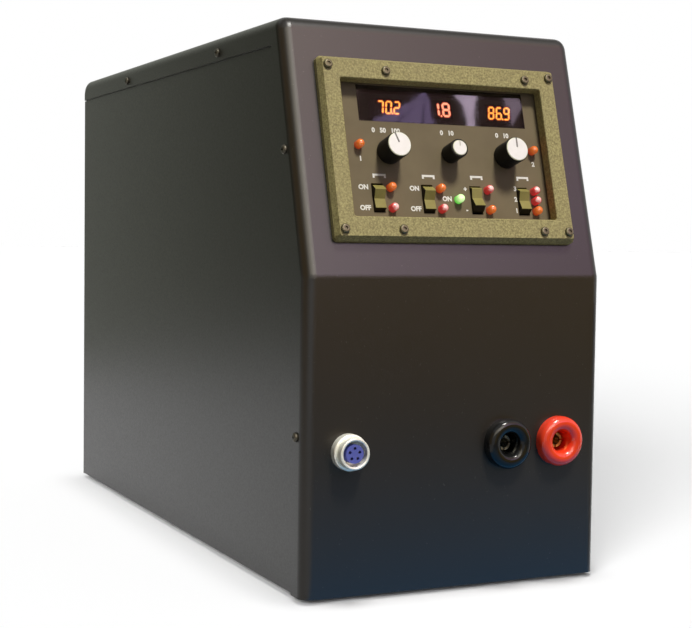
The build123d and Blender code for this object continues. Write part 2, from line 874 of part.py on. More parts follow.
def cut_trunnion_holes(plane, centre, depth):
    """Drill the trunnions' holes through the two walls beside a rocker, inside a part."""
    with BuildSketch(tilted_plane(plane, centre, depth, 0)) as hole:
        Circle(trunnion_radius + trunnion_fit)
    reach = rocker_width / 2 + rocker_gap + switch_wall
    extrude(hole.sketch, amount=reach, both=True, mode=Mode.SUBTRACT)


def switch_housing(centre):
    """Switch body between the panel and the board, open towards the panel."""
    back = slope.offset(panel_rear)
    with BuildPart() as body:
        with BuildSketch(back):
            with Locations(centre):
                Rectangle(
                    rocker_width + 2 * (rocker_gap + switch_wall),
                    2 * (cutout_half_length + switch_wall),
                )
        extrude(amount=-panel_gap)
        cut_rocker_pocket(back, centre, panel_gap - switch_floor)
        cut_trunnion_holes(back, centre, panel_rear - rocker_pivot)
    return body


for name, place in rocker_places.items():
    centre = (place, rocker_row)
    save(rocker(slope.offset(panel_face), centre, rocker_rest[name]), f"rocker_{name}")
    save(switch_housing(centre), f"switch_{name}")


def turning_plane(place):
    """Plane through an axis out of the front: x is the radius, y the reach out of the front."""
    origin = front.from_local_coords((place, socket_height, 0))
    return Plane(origin=origin, x_dir=(1, 0, 0), z_dir=(0, 0, -1))


def turning_axis(place):
    """Axis that points straight out of the front at a place on the socket row."""
    return Axis(front.from_local_coords((place, socket_height, 0)), (0, -1, 0))


def socket_body(place):
    """Insulator with a doughnut-shaped nose, a deep recess and a threaded barrel."""
    nose_radius = (socket_radius - socket_recess_radius) / 2
    inner_rim = (socket_recess_radius, socket_nose_base)
    crest = (socket_recess_radius + nose_radius, socket_nose_base + nose_radius)
    outer_rim = (socket_radius, socket_nose_base)
    seat = contact_radius + insert_fit
    with BuildPart() as body:
        with BuildSketch(turning_plane(place)):
            with BuildLine():
                ThreePointArc(inner_rim, crest, outer_rim)
                Polyline(
                    outer_rim,
                    (socket_radius, 0),
                    (socket_barrel_radius, 0),
                    (socket_barrel_radius, -socket_barrel_length),
                    (seat, -socket_barrel_length),
                    (seat, -socket_recess_depth),
                    (socket_recess_radius, -socket_recess_depth),
                    inner_rim,
                )
            make_face()
        revolve(axis=turning_axis(place))
    return body


def socket_contact(place):
    """Brass contact: a slotted tube for the plug and a solid tail behind the barrel."""
    mouth = front.offset(-contact_setback)
    with BuildPart() as contact:
        contact_length = socket_barrel_length + contact_tail - contact_setback
        posts(mouth, [(place, socket_height)], contact_radius, -contact_length)
        drill(mouth, [(place, socket_height)], contact_bore_radius, -contact_bore_depth)
        with BuildSketch(mouth):
            with Locations((place, socket_height)):
                Rectangle(2 * contact_radius, contact_slot)
                Rectangle(contact_slot, 2 * contact_radius)
        extrude(amount=-contact_slot_depth, mode=Mode.SUBTRACT)
    return contact


for name, place in socket_places.items():
    save(socket_body(place), f"socket_{name}")
    save(socket_contact(place), f"socket_contact_{name}")

with BuildPart() as socket_nuts:
    with BuildSketch(front.offset(-sheet)):
        with Locations(*[(place, socket_height) for place in socket_places.values()]):
            RegularPolygon(socket_nut_radius, 6, major_radius=False, rotation=30)
            Circle(socket_barrel_radius + nut_thread_fit, mode=Mode.SUBTRACT)
    extrude(amount=-socket_nut_thickness)
save(socket_nuts, "socket_nuts")

# Round connector: metal shell, insert with female contacts, and a nut behind the front
with BuildPart() as connector_shell:
    with BuildSketch(turning_plane(connector_place)):
        Polygon(
            (connector_bore_radius, connector_reach),
            (connector_radius, connector_reach),
            (connector_radius, connector_flange_height),
            (connector_flange_radius, connector_flange_height),
            (connector_flange_radius, 0),
            (connector_thread_radius, 0),
            (connector_thread_radius, -connector_thread_length),
            (insert_radius + insert_fit, -connector_thread_length),
            (insert_radius + insert_fit, connector_floor),
            (connector_bore_radius, connector_floor),
            align=None,
        )
    revolve(axis=turning_axis(connector_place))
    fillet(edges_at(connector_shell, front, connector_reach), radius=connector_rim_round)
    fillet(edges_at(connector_shell, front, connector_flange_height).sort_by(SortBy.LENGTH)[-1],
           radius=connector_flange_round)
save(connector_shell, "connector_shell")

pin_places = [
    (connector_place + pin_circle * math.sin(math.tau * order / pin_count),
     socket_height + pin_circle * math.cos(math.tau * order / pin_count))
    for order in range(pin_count)
]
insert_face = front.offset(connector_reach - insert_recess)
insert_length = connector_reach - insert_recess + insert_tail
with BuildPart() as connector_insert:
    posts(insert_face, [(connector_place, socket_height)], insert_radius, -insert_length)
    drill(insert_face, pin_places, pin_radius + insert_fit, -insert_length)
save(connector_insert, "connector_insert")

with BuildPart() as connector_contacts:
    posts(insert_face.offset(-pin_setback), pin_places, pin_radius, -insert_length)
    drill(insert_face.offset(-pin_setback), pin_places, pin_bore_radius, -insert_length / 2)
save(connector_contacts, "connector_contacts")

with BuildPart() as connector_nut:
    with BuildSketch(front.offset(-sheet)):
        with Locations((connector_place, socket_height)):
            RegularPolygon(connector_nut_radius, 6, major_radius=False)
            Circle(connector_thread_radius + nut_thread_fit, mode=Mode.SUBTRACT)
    extrude(amount=-connector_nut_thickness)
save(connector_nut, "connector_nut")

# Mains inlet with a fuse drawer and the power rocker
inlet_face = rear.offset(inlet_flange)
cavity_centre = (inlet_x, inlet_z - cavity_drop)
drawer_centre = (inlet_x, inlet_z - drawer_drop)
power_centre = (inlet_x, inlet_z + power_rise)
cavity_floor = inlet_face.offset(-cavity_depth)
half_width = cavity_width / 2
half_height = cavity_height / 2
cavity_corners = [
    (-half_width, -half_height),
    (half_width, -half_height),
    (half_width, half_height - cavity_chamfer),
    (half_width - cavity_chamfer, half_height),
    (cavity_chamfer - half_width, half_height),
    (-half_width, half_height - cavity_chamfer),
]
blade_places = [
    (inlet_x - blade_spread, cavity_centre[1] - blade_offset),
    (inlet_x + blade_spread, cavity_centre[1] - blade_offset),
    (inlet_x, cavity_centre[1] + earth_offset),
]
with BuildPart() as inlet_body:
    with BuildSketch(rear):
        with Locations(inlet_place):
            RectangleRounded(inlet_width, inlet_length, inlet_corner)
    extrude(amount=inlet_flange)
    with BuildSketch(rear):
        with Locations(inlet_place):
            Rectangle(body_width, body_length)
    extrude(amount=-inlet_depth)
    with BuildSketch(inlet_face):
        Polygon(*[(cavity_centre[0] + x, cavity_centre[1] + y) for x, y in cavity_corners], align=None)
    extrude(amount=-cavity_depth, mode=Mode.SUBTRACT)
    with BuildSketch(cavity_floor):
        with Locations(*blade_places):
            Rectangle(blade_thickness + 2 * insert_fit, blade_width + 2 * insert_fit)
    extrude(amount=cavity_depth - inlet_flange - inlet_depth, mode=Mode.SUBTRACT)
    with BuildSketch(inlet_face):
        with Locations(drawer_centre):
            Rectangle(drawer_width + 2 * drawer_gap, drawer_height + 2 * drawer_gap)
    extrude(amount=-(drawer_depth + drawer_gap), mode=Mode.SUBTRACT)
    cut_rocker_pocket(inlet_face, power_centre, panel_gap)
    cut_trunnion_holes(inlet_face, power_centre, rocker_pivot_depth)
save(inlet_body, "inlet_body")

with BuildPart() as inlet_blades:
    with BuildSketch(cavity_floor.offset(blade_length)):
        with Locations(*blade_places):
            Rectangle(blade_thickness, blade_width)
    extrude(amount=cavity_depth - blade_length - inlet_flange - inlet_depth - blade_width)
save(inlet_blades, "inlet_blades")

with BuildPart() as fuse_drawer:
    with BuildSketch(inlet_face):
        with Locations(drawer_centre):
            Rectangle(drawer_width, drawer_height)
    extrude(amount=-drawer_depth)
    with BuildSketch(inlet_face):
        with Locations(drawer_centre):
            Rectangle(drawer_width, drawer_height)
    extrude(amount=drawer_gap)
    with BuildSketch(inlet_face.offset(drawer_gap)):
        with Locations(drawer_centre):
            Rectangle(drawer_width + 2 * drawer_face_overlap, drawer_height + 2 * drawer_face_overlap)
    extrude(amount=drawer_face_thickness)
    with BuildSketch(inlet_face.offset(drawer_gap + drawer_face_thickness)):
        with Locations((inlet_x, drawer_centre[1] + drawer_height / 2)):
            Rectangle(drawer_width / 2, drawer_face_overlap)
    extrude(amount=-drawer_grip, mode=Mode.SUBTRACT)
save(fuse_drawer, "fuse_drawer")
save(rocker(inlet_face, power_centre, -rocker_swing), "power_rocker")

# Mains transformer standing on the base
core_width = 6 * core_leg
core_height = 5 * core_leg
core_x = core_width / 2 + core_side_gap - side_inner
core_y = rear_inner_y - core_rear_gap - core_stack / 2
core_plane = Plane(origin=(core_x, core_y, base_top_z), x_dir=(1, 0, 0), z_dir=(0, -1, 0))
with BuildPart() as transformer_core:
    with BuildSketch(core_plane):
        with Locations((0, core_height / 2)):
            Rectangle(core_width, core_height)
            with GridLocations(3 * core_leg, 0, 2, 1):
                Rectangle(core_leg, 3 * core_leg, mode=Mode.SUBTRACT)
    extrude(amount=core_stack / 2, both=True)
save(transformer_core, "transformer_core")

coil_height = 3 * core_leg - 2 * coil_gap
with BuildPart() as transformer_coil:
    with BuildSketch(Plane((core_x, core_y, base_top_z + core_leg + coil_gap))):
        RectangleRounded(4 * core_leg - 2 * coil_gap, core_stack + 2 * (coil_gap + coil_build), coil_round)
        Rectangle(2 * core_leg + 2 * coil_gap, core_stack + 2 * coil_gap, mode=Mode.SUBTRACT)
    extrude(amount=coil_height)
save(transformer_coil, "transformer_coil")

# Storage capacitors in a row, held by clamps on the base and joined by two bars
can_row = side_inner - can_side_gap - can_radius
can_places = [(can_row, front_y + can_first + order * can_pitch) for order in range(can_count)]
terminal_top = base_top_z + can_height + terminal_height
with BuildPart() as storage_capacitors:
    posts(Plane.XY.offset(base_top_z), can_places, can_radius, can_height)
    fillet(edges_at(storage_capacitors, Plane.XY, base_top_z + can_height), radius=can_round)
    with BuildSketch(Plane.XY.offset(base_top_z + can_height)):
        with Locations(*can_places):
            with GridLocations(2 * terminal_spread, 0, 2, 1):
                Circle(terminal_radius)
    extrude(amount=terminal_height)
save(storage_capacitors, "storage_capacitors")

with BuildPart() as capacitor_clamps:
    posts(Plane.XY.offset(base_top_z), can_places, can_radius + clamp_fit + clamp_thickness, clamp_height)
    with BuildSketch(Plane.XY.offset(base_top_z)):
        with Locations(*can_places):
            Rectangle(2 * (can_radius + clamp_tab), clamp_tab)
    extrude(amount=clamp_thickness)
    drill(Plane.XY.offset(base_top_z), can_places, can_radius + clamp_fit, clamp_height)
save(capacitor_clamps, "capacitor_clamps")

with BuildPart() as bus_bars:
    with BuildSketch(Plane.XY.offset(terminal_top)):
        with Locations((can_row, (can_places[0][1] + can_places[-1][1]) / 2)):
            with GridLocations(2 * terminal_spread, 0, 2, 1):
                Rectangle(bar_width, (can_count - 1) * can_pitch + 2 * bar_overhang)
    extrude(amount=bar_thickness)
save(bus_bars, "bus_bars")

# Main board on the left wall
wall_plane = Plane(origin=(sheet - side_outer, front_y, base_top_z), x_dir=(0, 1, 0), z_dir=(1, 0, 0))
board_middle = (board_first + board_length / 2, board_rise + board_height / 2)
board_holes = [
    (board_middle[0] + along * (board_length / 2 - board_hole_inset),
     board_middle[1] + up * (board_height / 2 - board_hole_inset))
    for along in (-1, 1)
    for up in (-1, 1)
]
with BuildPart() as main_board:
    with BuildSketch(wall_plane.offset(board_standoff)):
        with Locations(board_middle):
            Rectangle(board_length, board_height)
        with Locations(*board_holes):
            Circle(stud_radius + screw_hole_clearance, mode=Mode.SUBTRACT)
    extrude(amount=board_thickness)
save(main_board, "main_board")

with BuildPart() as main_board_standoffs:
    posts(wall_plane, board_holes, standoff_radius, board_standoff)
    posts(wall_plane.offset(board_standoff), board_holes, stud_radius, stud_length)
save(main_board_standoffs, "main_board_standoffs")

# Polarity relay, and the discharge switch on its heat sink
relay_width, relay_length, relay_tall = relay_size
relay_x = side_inner - relay_side_gap - relay_width / 2
with BuildPart() as polarity_relay:
    with BuildSketch(Plane((relay_x, front_y + relay_setback, base_top_z))):
        RectangleRounded(relay_width, relay_length, relay_round)
    extrude(amount=relay_tall)
save(polarity_relay, "polarity_relay")

sink_x = sink_width / 2 + sink_side_gap - side_inner
sink_plane = Plane((sink_x, front_y + sink_setback, base_top_z))
sink_top = sink_fin_height + sink_base
with BuildPart() as heat_sink:
    with BuildSketch(sink_plane):
        with GridLocations((sink_width - sink_fin_thickness) / (sink_fin_count - 1), 0, sink_fin_count, 1):
            Rectangle(sink_fin_thickness, sink_length)
    extrude(amount=sink_fin_height)
    with BuildSketch(sink_plane.offset(sink_fin_height)):
        Rectangle(sink_width, sink_length)
    extrude(amount=sink_base)
save(heat_sink, "heat_sink")

module_width, module_length, module_tall = module_size
with BuildPart() as discharge_switch:
    with BuildSketch(sink_plane.offset(sink_top)):
        RectangleRounded(module_width, module_length, relay_round)
    extrude(amount=module_tall)
save(discharge_switch, "discharge_switch")
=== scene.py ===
"""Looks of a percussion welder: materials, printed marks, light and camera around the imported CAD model.

Metres, in the CAD model's frame: +Z up, the front faces -Y, the origin on the floor under the unit.
"""

import json
import math

import bmesh
import bpy
from mathutils import Matrix, Vector

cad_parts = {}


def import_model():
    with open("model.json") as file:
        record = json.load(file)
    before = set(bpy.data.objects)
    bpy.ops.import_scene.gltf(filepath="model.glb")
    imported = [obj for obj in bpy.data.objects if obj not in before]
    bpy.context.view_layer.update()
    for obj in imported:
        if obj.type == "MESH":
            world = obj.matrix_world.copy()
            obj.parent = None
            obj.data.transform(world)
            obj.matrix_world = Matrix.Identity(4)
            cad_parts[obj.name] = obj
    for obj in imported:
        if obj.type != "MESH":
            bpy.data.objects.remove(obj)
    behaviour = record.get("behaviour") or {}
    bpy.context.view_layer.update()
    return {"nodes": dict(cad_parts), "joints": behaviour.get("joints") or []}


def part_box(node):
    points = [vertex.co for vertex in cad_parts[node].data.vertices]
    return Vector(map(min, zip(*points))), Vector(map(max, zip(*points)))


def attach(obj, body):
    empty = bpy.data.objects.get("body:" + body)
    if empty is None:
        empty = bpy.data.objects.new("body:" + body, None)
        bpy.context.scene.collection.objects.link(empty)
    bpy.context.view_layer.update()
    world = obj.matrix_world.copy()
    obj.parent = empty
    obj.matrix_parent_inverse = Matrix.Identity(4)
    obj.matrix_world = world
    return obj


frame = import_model()
nodes = frame["nodes"]
joints = {joint["name"]: joint for joint in frame["joints"]}
cover_low, cover_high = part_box("cover")
mm = 0.001

# Camera: where it stands from the cabinet's front, middle and lower edge, and how it is turned
camera_ahead = 0.75035
camera_left = 0.42768
camera_above = 0.20801
camera_turn = math.radians(25.198)
camera_dip = math.radians(3.0705)
camera_roll = math.radians(0.7815)
camera_lens = 75.81
camera_sensor = 36.0
camera_place = Vector((
    (cover_low.x + cover_high.x) / 2 - camera_left,
    cover_low.y - camera_ahead,
    cover_low.z + camera_above,
))

# Stage and light: the floor is lifted to white only where a ray sees it, and has two lamps of its own
floor_size = 40.0
floor_white = 0.86
floor_shade = 0.19
floor_lift = 0.02
world_light = 0.12
background_white = 1.0
key_from = (0.10, -0.45, 0.887)
key_strength = 3.3
key_spread = math.radians(12)
key_colour = (1.0, 0.97, 0.92)
floor_lamp_from = (-0.66, -0.69, 0.42)
floor_lamp_strength = 3.5
floor_lamp_spread = math.radians(28)
floor_lamps_colour = (1.0, 1.0, 1.0)
top_lamp_from = (0.0, 0.0, 1.0)
top_lamp_strength = 1.85
top_lamp_spread = math.radians(12)

# Cards that only gloss shows: where neighbours meet, the left card's place, and the dim flags
slope_cards_meet = 0.98
near_card_end = 0.36
near_card_end_colour = (0.34, 0.46, 0.52)
middle_card_end = 0.60
middle_card_end_colour = (0.0, 0.0, 0.0)
far_card_end = 0.95
floor_card_rise = 0.001
left_card_x = -1.3
left_card_near = -1.1
left_card_far = 0.35
left_card_top = 1.3
flag_colour = (1.0, 0.96, 0.92)
top_flag_gap = 0.005
top_flag_setback = 0.05
top_flag_reach = 1.2
top_flag_top = 1.7
side_flag_gap = 0.006
side_flag_reach = 1.0
side_flag_top = 0.17

# Places on the faces whose mirrored view the upright cards stand across
front_aim_height = 0.1
side_aim_height = 0.2
corner_aim_drop = 0.08
corner_turn = math.radians(18)

# Printed marks on the control panel: size of the figures and how far the ink stands off the panel
figure_height = 2.8 * mm
capital_share = 0.7
figure_weight = 0.20 * mm
ink_relief = 0.03 * mm
bracket_width = 8.6 * mm
bracket_tick = 1.2 * mm
bracket_line = 1.3 * mm

# Glow around the lit digits, on the face of the modules behind them
halo_width = 0.45 * mm
halo_relief = 0.04 * mm
weld_distance = 0.01 * mm
flat_angle = math.radians(2)
facing_out = math.cos(math.radians(8))

# Knob caps: depth that tells the pointer groove from the face, and widths of the rim and of its painted
# yellow highlight band
groove_depth = 0.3 * mm
rim_width = 0.05 * mm
rim_highlight_band = 0.7 * mm

# Lamp lenses: how far the swirl shifts their colour
lamp_swirl = 0.12

# Rockers: how squarely a face has to look sideways or down the slope to be painted near-black as shade
rocker_side_facing = 0.7
rocker_end_facing = 0.6

# The control panel's own directions, from the knobs' turning axis
outward = Vector(joints["knob_left_turn"]["axis"]).normalized()
across = Vector((1.0, 0.0, 0.0))
up_slope = outward.cross(across)


def panel_point(right=0.0, up=0.0, out=0.0):
    """A point on the control panel, from the foot of the middle knob's axis."""
    return Vector(joints["knob_middle_turn"]["pos_m"]) + across * right + up_slope * up + outward * out


def node(tree, kind, inputs=None, **settings):
    """Add a shader node, with settings on it and values or links on its inputs."""
    made = tree.nodes.new(kind)
    for name, value in settings.items():
        setattr(made, name, value)
    for name, value in (inputs or {}).items():
        if isinstance(value, bpy.types.NodeSocket):
            tree.links.new(value, made.inputs[name])
        else:
            made.inputs[name].default_value = value
    return made


def empty_material(name):
    """A new material with no nodes, and its node tree."""
    made = bpy.data.materials.new(name)
    made.use_nodes = True
    made.node_tree.nodes.clear()
    return made, made.node_tree


def close(tree, shader):
    """Send a shader to the material's output."""
    node(tree, "ShaderNodeOutputMaterial", {"Surface": shader})


def rgba(colour):
    """A colour with full opacity."""
    return (*colour, 1.0)


def place_of(tree):
    """The surface's place in the object's own coordinates."""
    return node(tree, "ShaderNodeTexCoord").outputs["Object"]


def noise(tree, size, detail=3.0, offset=(0.0, 0.0, 0.0)):
    """Noise over the object's own coordinates, with features of a size in metres."""
    moved = node(tree, "ShaderNodeMapping", {"Vector": place_of(tree), "Location": offset})
    made = node(tree, "ShaderNodeTexNoise", {
        "Vector": moved.outputs["Vector"], "Scale": 1 / size, "Detail": detail,
    })
    return made.outputs["Fac"]


def spread(tree, value, low, high, start=0.3, end=0.7):
    """Map a value from one range to another, held at its ends."""
    made = node(tree, "ShaderNodeMapRange", {
        "Value": value, "From Min": start, "From Max": end, "To Min": low, "To Max": high,
    })
    return made.outputs["Result"]


def sums(tree, operation, first, second):
    """One step of arithmetic on two values."""
    return node(tree, "ShaderNodeMath", {0: first, 1: second}, operation=operation).outputs["Value"]


def vectors(tree, operation, first, second, result):
    """One step of arithmetic on two vectors."""
    return node(tree, "ShaderNodeVectorMath", {0: first, 1: second}, operation=operation).outputs[result]


def blend(tree, share, first, second):
    """Mix two colours by a share."""
    # A colour mix has its share in input 0, its colours in inputs 6 and 7 and its result in output 2
    made = node(tree, "ShaderNodeMix", data_type="RGBA")
    tree.links.new(share, made.inputs[0])
    for socket, colour in ((made.inputs[6], first), (made.inputs[7], second)):
        if isinstance(colour, bpy.types.NodeSocket):
            tree.links.new(colour, socket)
        else:
            socket.default_value = rgba(colour)
    return made.outputs[2]


def bumps(tree, height, depth):
    """Normal of a surface raised by a height, with a depth in metres."""
    made = node(tree, "ShaderNodeBump", {"Height": height, "Distance": depth})
    return made.outputs["Normal"]


def surface(name, colour, mottled, grain, depth, gloss, mottle=0.02, metallic=0.0, specular=0.5):
    """Material whose colour drifts between two, with a fine grain in its height and its gloss."""
    made, tree = empty_material(name)
    drift = spread(tree, noise(tree, mottle), 0.0, 1.0)
    fine = noise(tree, grain, detail=4.0, offset=(1.0, 2.0, 3.0))
    shader = node(tree, "ShaderNodeBsdfPrincipled", {
        "Base Color": blend(tree, drift, colour, mottled),
        "Roughness": spread(tree, fine, *gloss),
        "Normal": bumps(tree, fine, depth),
        "Metallic": metallic,
        "Specular IOR Level": specular,
    })
    close(tree, shader.outputs["BSDF"])
    return made


def case_paint():
    """Satin black powder paint with a fine orange-peel skin and a few pale specks of dust."""
    made, tree = empty_material("case_paint")
    drift = spread(tree, noise(tree, size=0.09, detail=2.0), 0.0, 1.0)
    peel = noise(tree, size=0.0011, detail=2.0)
    specks = noise(tree, size=0.0016, detail=1.0, offset=(5.0, 1.0, 2.0))
    paint = blend(tree, drift, (0.0115, 0.0102, 0.0082), (0.0135, 0.0120, 0.0100))
    dust = spread(tree, specks, 0.0, 0.35, start=0.74, end=0.80)
    shader = node(tree, "ShaderNodeBsdfPrincipled", {
        "Base Color": blend(tree, dust, paint, (0.09, 0.085, 0.08)),
        "Roughness": spread(tree, peel, 0.30, 0.40),
        "Normal": bumps(tree, peel, depth=0.000012),
        "Specular IOR Level": 0.36,
    })
    close(tree, shader.outputs["BSDF"])
    return made


def wrinkle_paint():
    """Khaki wrinkle paint, with painted light on its fine ridges and painted shade in its hollows."""
    made, tree = empty_material("wrinkle_paint")
    cell_size = 0.0009
    cells = node(tree, "ShaderNodeTexVoronoi", {
        "Vector": place_of(tree), "Scale": 1 / cell_size, "Randomness": 1.0,
    }, feature="SMOOTH_F1")
    ridges = noise(tree, size=0.0007, detail=3.0)
    speckles = noise(tree, size=0.0012, detail=4.0, offset=(4.0, 3.0, 9.0))
    scuffs = noise(tree, size=0.03, detail=4.0, offset=(2.0, 7.0, 1.0))
    height = sums(tree, "ADD", sums(tree, "MULTIPLY", cells.outputs["Distance"], ridges), ridges)
    # Painted light and shade: paler where the wrinkle stands high, darker in its hollows
    painted_wrinkle_shading = spread(tree, height, 0.0, 1.0, start=0.45, end=0.95)
    speckle = spread(tree, speckles, 0.0, 1.0, start=0.34, end=0.66)
    wear = spread(tree, scuffs, 0.0, 0.35)
    khaki = blend(tree, painted_wrinkle_shading, (0.38, 0.330, 0.131), (0.54, 0.478, 0.205))
    speckled = blend(tree, speckle, khaki, (0.215, 0.182, 0.075))
    shader = node(tree, "ShaderNodeBsdfPrincipled", {
        "Base Color": blend(tree, wear, speckled, (0.33, 0.28, 0.135)),
        "Roughness": spread(tree, height, 0.5, 0.65, start=0.4, end=1.0),
        "Normal": bumps(tree, height, depth=0.00009),
        "Specular IOR Level": 0.12,
    })
    close(tree, shader.outputs["BSDF"])
    return made


def window_glass():
    """Smoked, glossy display window, lightly marked by handling."""
    made, tree = empty_material("window_glass")
    smears = noise(tree, size=0.012, detail=4.0)
    shader = node(tree, "ShaderNodeBsdfPrincipled", {
        "Base Color": blend(tree, spread(tree, smears, 0.0, 1.0), (0.18, 0.11, 0.11), (0.22, 0.14, 0.14)),
        "Roughness": spread(tree, smears, 0.02, 0.05),
        "Transmission Weight": 1.0,
        "IOR": 1.49,
        "Specular IOR Level": 0.5,
    })
    close(tree, shader.outputs["BSDF"])
    return made


def halo_glow():
    """Red light of the digits on the modules' faces, a little uneven."""
    made, tree = empty_material("digit_halo")
    drift = spread(tree, noise(tree, size=0.002), 0.0, 1.0)
    red = (1.0, 0.09, 0.03)
    shader = node(tree, "ShaderNodeBsdfPrincipled", {
        "Base Color": blend(tree, drift, (0.3, 0.02, 0.01), red),
        "Roughness": spread(tree, drift, 0.2, 0.35, start=0.0, end=1.0),
        "Emission Color": blend(tree, drift, red, (1.0, 0.14, 0.05)),
        "Emission Strength": 1.7,
    })
    close(tree, shader.outputs["BSDF"])
    return made


def digit_glow():
    """Lit digits: yellow in the outer groups, and paler in the middle one."""
    made, tree = empty_material("digit_glow")
    low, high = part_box("digit_segments")
    middle = panel_point().x
    from_middle = vectors(tree, "SUBTRACT", place_of(tree), (middle, 0.0, 0.0), "Vector")
    apart = node(tree, "ShaderNodeSeparateXYZ", {"Vector": from_middle})
    outer = sums(tree, "GREATER_THAN", sums(tree, "ABSOLUTE", apart.outputs["X"], 0.0), (high.x - low.x) / 4)
    drift = spread(tree, noise(tree, size=0.002), 0.0, 1.0)
    yellow = blend(tree, drift, (1.0, 0.60, 0.09), (1.0, 0.88, 0.16))
    pale = blend(tree, drift, (1.0, 0.62, 0.34), (1.0, 0.72, 0.44))
    shader = node(tree, "ShaderNodeBsdfPrincipled", {
        "Base Color": blend(tree, outer, pale, yellow),
        "Roughness": spread(tree, drift, 0.2, 0.35, start=0.0, end=1.0),
        "Emission Color": blend(tree, outer, pale, yellow),
        "Emission Strength": 6.5,
    })
    close(tree, shader.outputs["BSDF"])
    return made


def height_over_panel(tree):
    """How far the surface stands out of the control panel."""
    from_panel = vectors(tree, "SUBTRACT", place_of(tree), panel_point(), "Vector")
    return vectors(tree, "DOT_PRODUCT", from_panel, outward, "Value")


def lamp_plastic(name, node_name, base, tip, strength, turn=0.0):
    """Domed lens whose colour turns from its foot's to its tip's, with a faint swirl from its moulding,
    glowing in that colour. On an unlit lens the pale tip is a painted highlight and the glow is painted
    light.
    """
    made, tree = empty_material(name)
    tall = max((vertex.co - panel_point()).dot(outward) for vertex in nodes[node_name].data.vertices)
    swirl = spread(tree, noise(tree, size=0.0025, detail=2.0), -lamp_swirl, lamp_swirl)
    risen = spread(tree, height_over_panel(tree), 0.0, 1.0, start=0.0, end=tall)
    share = sums(tree, "ADD", risen, swirl)
    colour = blend(tree, spread(tree, share, 0.0, 1.0, start=turn, end=1.0), base, tip)
    shader = node(tree, "ShaderNodeBsdfPrincipled", {
        "Base Color": colour,
        "Roughness": spread(tree, swirl, 0.04, 0.08, start=-lamp_swirl, end=lamp_swirl),
        "Emission Color": colour,
        "Emission Strength": strength,
    })
    close(tree, shader.outputs["BSDF"])
    return made


def rocker_plastic():
    """Olive rocker whose sides and lower end are painted near-black as shade."""
    made, tree = empty_material("rocker_plastic")
    facing = node(tree, "ShaderNodeTexCoord").outputs["Normal"]
    sideways = sums(tree, "ABSOLUTE", vectors(tree, "DOT_PRODUCT", facing, across, "Value"), 0.0)
    upwards = vectors(tree, "DOT_PRODUCT", facing, up_slope, "Value")
    side = sums(tree, "GREATER_THAN", sideways, rocker_side_facing)
    lower_end_shade = sums(tree, "LESS_THAN", upwards, -rocker_end_facing)
    drift = spread(tree, noise(tree, size=0.006), 0.0, 1.0)
    fine = noise(tree, size=0.0006, detail=4.0)
    olive = blend(tree, drift, (0.255, 0.220, 0.060), (0.305, 0.265, 0.080))
    # Painted shade: faces that look sideways or down the slope are coloured near-black
    shader = node(tree, "ShaderNodeBsdfPrincipled", {
        "Base Color": blend(tree, sums(tree, "MAXIMUM", side, lower_end_shade), olive, (0.020, 0.015, 0.008)),
        "Roughness": spread(tree, fine, 0.45, 0.6),
        "Normal": bumps(tree, fine, depth=0.00003),
        "Specular IOR Level": 0.12,
    })
    close(tree, shader.outputs["BSDF"])
    return made


def cap_plastic(name, fill):
    """Pale cap of a knob with a painted yellow highlight round its rim, and a fill in its pointer groove."""
    made, tree = empty_material(f"cap_plastic_{name}")
    foot = Vector(joints[f"knob_{name}_turn"]["pos_m"])
    places = [vertex.co - foot for vertex in nodes[f"knob_cap_{name}"].data.vertices]
    face = max(place.dot(outward) for place in places)
    rim = max(place.cross(outward).length for place in places)
    from_foot = vectors(tree, "SUBTRACT", place_of(tree), foot, "Vector")
    height = vectors(tree, "DOT_PRODUCT", from_foot, outward, "Value")
    sideways = vectors(tree, "CROSS_PRODUCT", from_foot, outward, "Vector")
    from_axis = vectors(tree, "LENGTH", sideways, outward, "Value")
    below = sums(tree, "LESS_THAN", height, face - groove_depth)
    inside = sums(tree, "LESS_THAN", from_axis, rim - rim_width)
    drift = spread(tree, noise(tree, size=0.004), 0.0, 1.0)
    fine = noise(tree, size=0.0006, detail=4.0)
    pale = blend(tree, drift, (0.86, 0.85, 0.79), (0.90, 0.89, 0.84))
    # Painted highlight: the colour turns yellow-olive over a band inside the rim
    edge = spread(tree, from_axis, 0.0, 0.8, start=rim - rim_highlight_band, end=rim)
    pale_with_rim_highlight = blend(tree, edge, pale, (0.74, 0.76, 0.42))
    shader = node(tree, "ShaderNodeBsdfPrincipled", {
        "Base Color": blend(tree, sums(tree, "MULTIPLY", below, inside), pale_with_rim_highlight, fill),
        "Roughness": spread(tree, fine, 0.35, 0.5),
        "Normal": bumps(tree, fine, depth=0.00001),
    })
    close(tree, shader.outputs["BSDF"])
    return made


def dress(look, *names):
    """Give CAD nodes a material in place of their own."""
    for name in names:
        nodes[name].data.materials.clear()
        nodes[name].data.materials.append(look)


# Cabinet and control panel
dress(case_paint(), "cover", "chassis", "rear_panel")
dress(wrinkle_paint(), "bezel")
dress(
    surface("panel_paint", (0.160, 0.126, 0.072), (0.190, 0.151, 0.086), grain=0.0007, depth=0.00003,
            gloss=(0.6, 0.75), specular=0.1),
    "control_panel",
)
dress(window_glass(), "display_window")
dress(digit_glow(), "digit_segments")
dress(
    surface("digit_face", (0.010, 0.005, 0.005), (0.016, 0.007, 0.007), grain=0.0007, depth=0.00002,
            gloss=(0.5, 0.65), mottle=0.004, specular=0.1),
    "digit_modules",
)
dress(
    surface("zinc_screw", (0.050, 0.045, 0.032), (0.080, 0.072, 0.052), grain=0.0006, depth=0.00002,
            gloss=(0.35, 0.5), mottle=0.002, metallic=0.6),
    "cabinet_screws",
)
dress(
    surface("dark_screw", (0.085, 0.074, 0.036), (0.120, 0.105, 0.055), grain=0.0006, depth=0.00002,
            gloss=(0.3, 0.45), mottle=0.002, metallic=0.3, specular=0.3),
    "bezel_screws",
)

